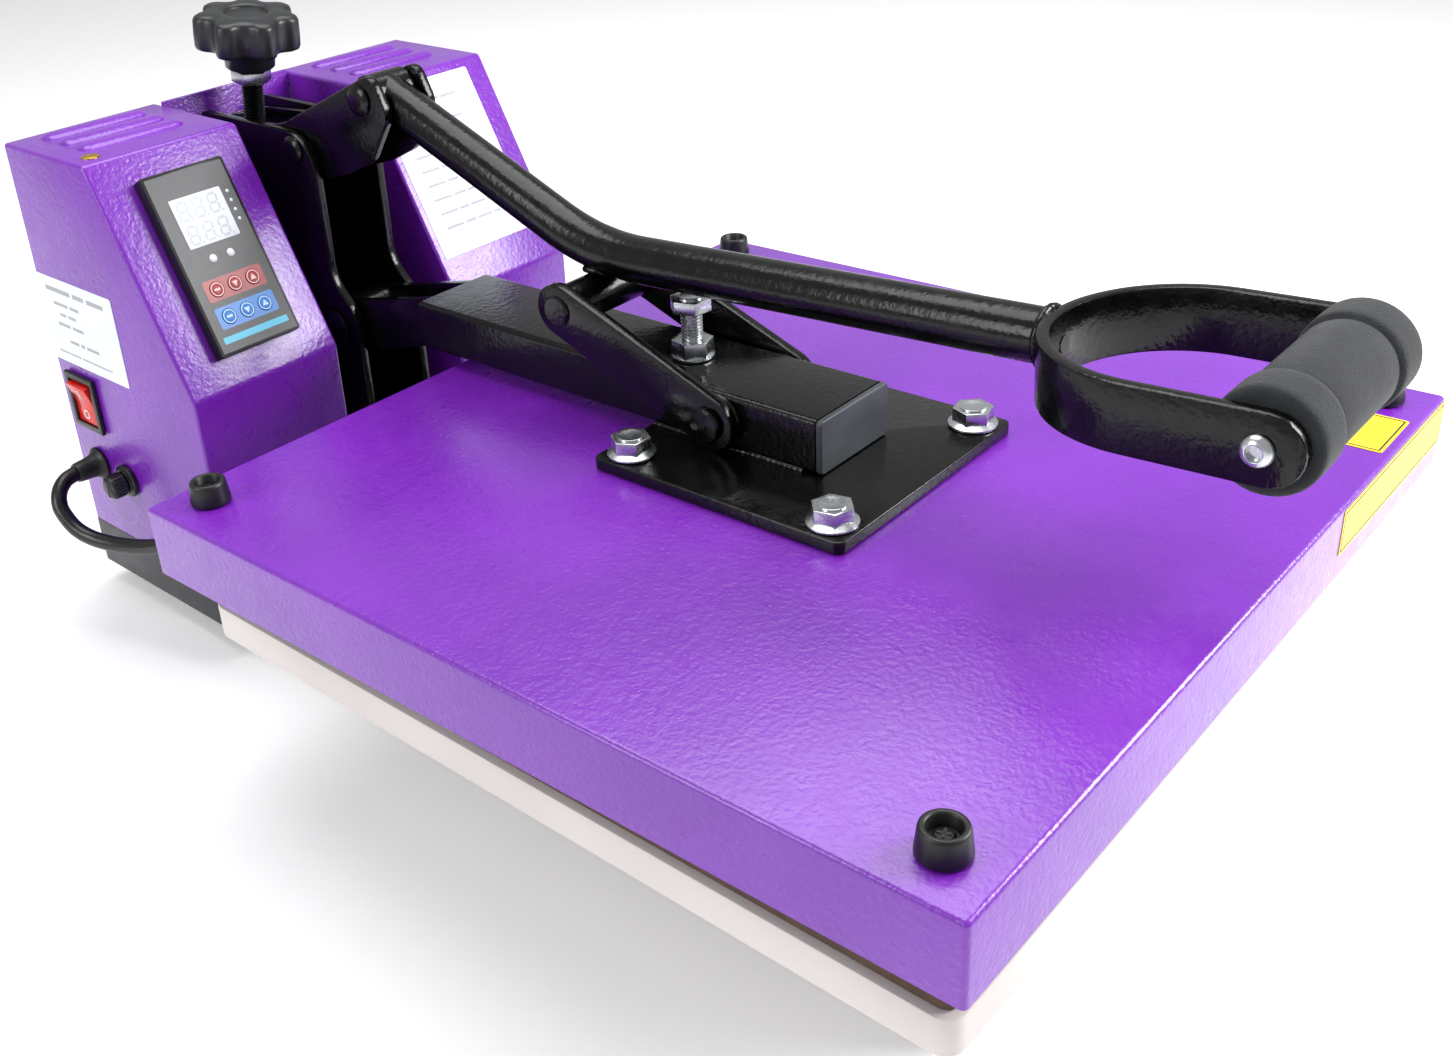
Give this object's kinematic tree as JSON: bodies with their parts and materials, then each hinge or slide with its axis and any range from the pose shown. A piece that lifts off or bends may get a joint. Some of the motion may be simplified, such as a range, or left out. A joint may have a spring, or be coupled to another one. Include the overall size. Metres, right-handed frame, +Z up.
{
  "type": "heat press",
  "caption": "Clamshell heat press: hinged square upper platen with a toggle arm, bent handle and pressure knob, over a padded lower platen, with control boxes at the rear.",
  "frame": {"origin": "on the table, under the centre of the whole press's bounding box", "axes": "+X to the operator's right, -Y towards the operator (the grip), +Y to the tower and boxes, +Z up"},
  "size_m": [0.41, 0.6434, 0.3134],
  "materials": {
    "purple_powder_coat": "hammered orange-peel powder coat",
    "black_powder_coat": "gloss textured powder coat",
    "grey_tray_paint": "satin",
    "pale_paint": "satin",
    "zinc_plate": "bright zinc",
    "black_oxide": "black oxide",
    "platen_aluminium": "milled",
    "silicone": "matt brown silicone sponge",
    "glass_wool": "fibrous blanket",
    "black_rubber": "matt",
    "black_foam": "closed-cell foam",
    "black_plastic": "fine grain",
    "charcoal_plastic": "fine grain",
    "display_lens": "gloss",
    "red_plastic": "gloss",
    "blue_plastic": "gloss"
  },
  "bodies": {
    "base": {"base_frame": "black_powder_coat", "base_tray": "grey_tray_paint", "foot_front_left": "black_rubber", "foot_front_right": "black_rubber", "foot_rear_left": "black_rubber", "foot_rear_right": "black_rubber", "lower_platen": "pale_paint", "silicone_pad": "silicone", "tower": "black_powder_coat", "arm_hinge_shaft": "zinc_plate", "bracket_pin": "black_oxide", "control_box": "purple_powder_coat", "right_box": "purple_powder_coat", "rear_panel": "purple_powder_coat", "controller_housing": "charcoal_plastic", "display_window": "display_lens", "switch_bezel": "black_plastic", "cable_gland": "black_rubber", "fuse_holder": "black_plastic", "mains_inlet": "black_plastic", "solid_state_relay": "black_plastic", "heater_cable": "black_rubber"},
    "upper_platen": {"platen_cover": "purple_powder_coat", "heating_platen": "platen_aluminium", "insulation_blanket": "glass_wool", "mounting_plate": "black_powder_coat", "flange_bolt_front_left": "zinc_plate", "flange_bolt_front_right": "zinc_plate", "flange_bolt_rear_left": "zinc_plate", "flange_bolt_rear_right": "zinc_plate", "cover_cap_front_left": "black_rubber", "cover_cap_front_right": "black_rubber", "cover_cap_rear_left": "black_rubber", "cover_cap_rear_right": "black_rubber", "press_arm": "black_powder_coat", "arm_end_cap": "black_plastic", "link_bolt_left": "black_oxide", "link_bolt_right": "black_oxide", "stop_nut": "zinc_plate", "stop_bolt": "zinc_plate", "cover_gland": "black_rubber"},
    "links": {"link_left": "black_powder_coat", "link_right": "black_powder_coat"},
    "handle": {"handle_tube": "black_powder_coat", "handle_loop": "black_powder_coat", "foam_grip": "black_foam", "grip_bolt": "zinc_plate"},
    "pressure_bracket": {"pressure_bracket": "black_powder_coat", "handle_pin": "black_oxide"},
    "pressure_knob": {"pressure_screw": "black_oxide", "knob_nut": "zinc_plate", "pressure_knob": "black_plastic"},
    "switch_rocker": {"switch_rocker": "red_plastic"},
    "fuse_cap": {"fuse_cap": "black_plastic"},
    "button_set_1": {"button_set_1": "red_plastic"},
    "button_set_2": {"button_set_2": "red_plastic"},
    "button_set_3": {"button_set_3": "red_plastic"},
    "button_timer_1": {"button_timer_1": "blue_plastic"},
    "button_timer_2": {"button_timer_2": "blue_plastic"},
    "button_timer_3": {"button_timer_3": "blue_plastic"}
  },
  "joints": [
    {"name": "arm_hinge", "type": "hinge", "parent": "base", "child": "upper_platen", "pos_m": [0, 0.20819, 0.149], "axis": [-1, 0, 0], "range_deg": [0, 44]},
    {"name": "handle_hinge", "type": "hinge", "parent": "base", "child": "handle", "pos_m": [0, 0.16819, 0.2795], "axis": [-1, 0, 0], "range_deg": [-0.2, 90.2]},
    {"name": "link_hinge", "type": "hinge", "parent": "upper_platen", "child": "links", "pos_m": [0, -0.06433, 0.17255], "axis": [1, 0, 0], "range_deg": [-0.2, 70.9]},
    {"name": "knob_turn", "type": "hinge", "parent": "base", "child": "pressure_knob", "pos_m": [0, 0.28369, 0.279], "axis": [0, -0.1392, 0.9903], "range_deg": [-540, 540]},
    {"name": "bracket_tilt", "type": "hinge", "parent": "base", "child": "pressure_bracket", "pos_m": [0, 0.22199, 0.2473], "axis": [-1, 0, 0], "range_deg": [-2.25, 2.25]},
    {"name": "power_switch", "type": "hinge", "parent": "base", "child": "switch_rocker", "pos_m": [-0.1308, 0.29519, 0.1223], "axis": [0, 1, 0], "range_deg": [0, 18]},
    {"name": "fuse_cap_turn", "type": "hinge", "parent": "base", "child": "fuse_cap", "pos_m": [-0.1413, 0.26819, 0.082], "axis": [-1, 0, 0], "range_deg": [0, 90]},
    {"name": "press_set_1", "type": "slide", "parent": "base", "child": "button_set_1", "axis": [0, 0.8832, -0.4689], "range_m": [0, 0.0005], "stiffness_N_per_m": 600},
    {"name": "press_set_2", "type": "slide", "parent": "base", "child": "button_set_2", "axis": [0, 0.8832, -0.4689], "range_m": [0, 0.0005], "stiffness_N_per_m": 600},
    {"name": "press_set_3", "type": "slide", "parent": "base", "child": "button_set_3", "axis": [0, 0.8832, -0.4689], "range_m": [0, 0.0005], "stiffness_N_per_m": 600},
    {"name": "press_timer_1", "type": "slide", "parent": "base", "child": "button_timer_1", "axis": [0, 0.8832, -0.4689], "range_m": [0, 0.0005], "stiffness_N_per_m": 600},
    {"name": "press_timer_2", "type": "slide", "parent": "base", "child": "button_timer_2", "axis": [0, 0.8832, -0.4689], "range_m": [0, 0.0005], "stiffness_N_per_m": 600},
    {"name": "press_timer_3", "type": "slide", "parent": "base", "child": "button_timer_3", "axis": [0, 0.8832, -0.4689], "range_m": [0, 0.0005], "stiffness_N_per_m": 600}
  ],
  "couplings": [
    {"joint": "handle_hinge", "follows": "arm_hinge", "ratio": 2.0427},
    {"joint": "link_hinge", "follows": "arm_hinge", "ratio": 1.6036},
    {"joint": "bracket_tilt", "follows": "knob_turn", "ratio": 0.00398}
  ]
}
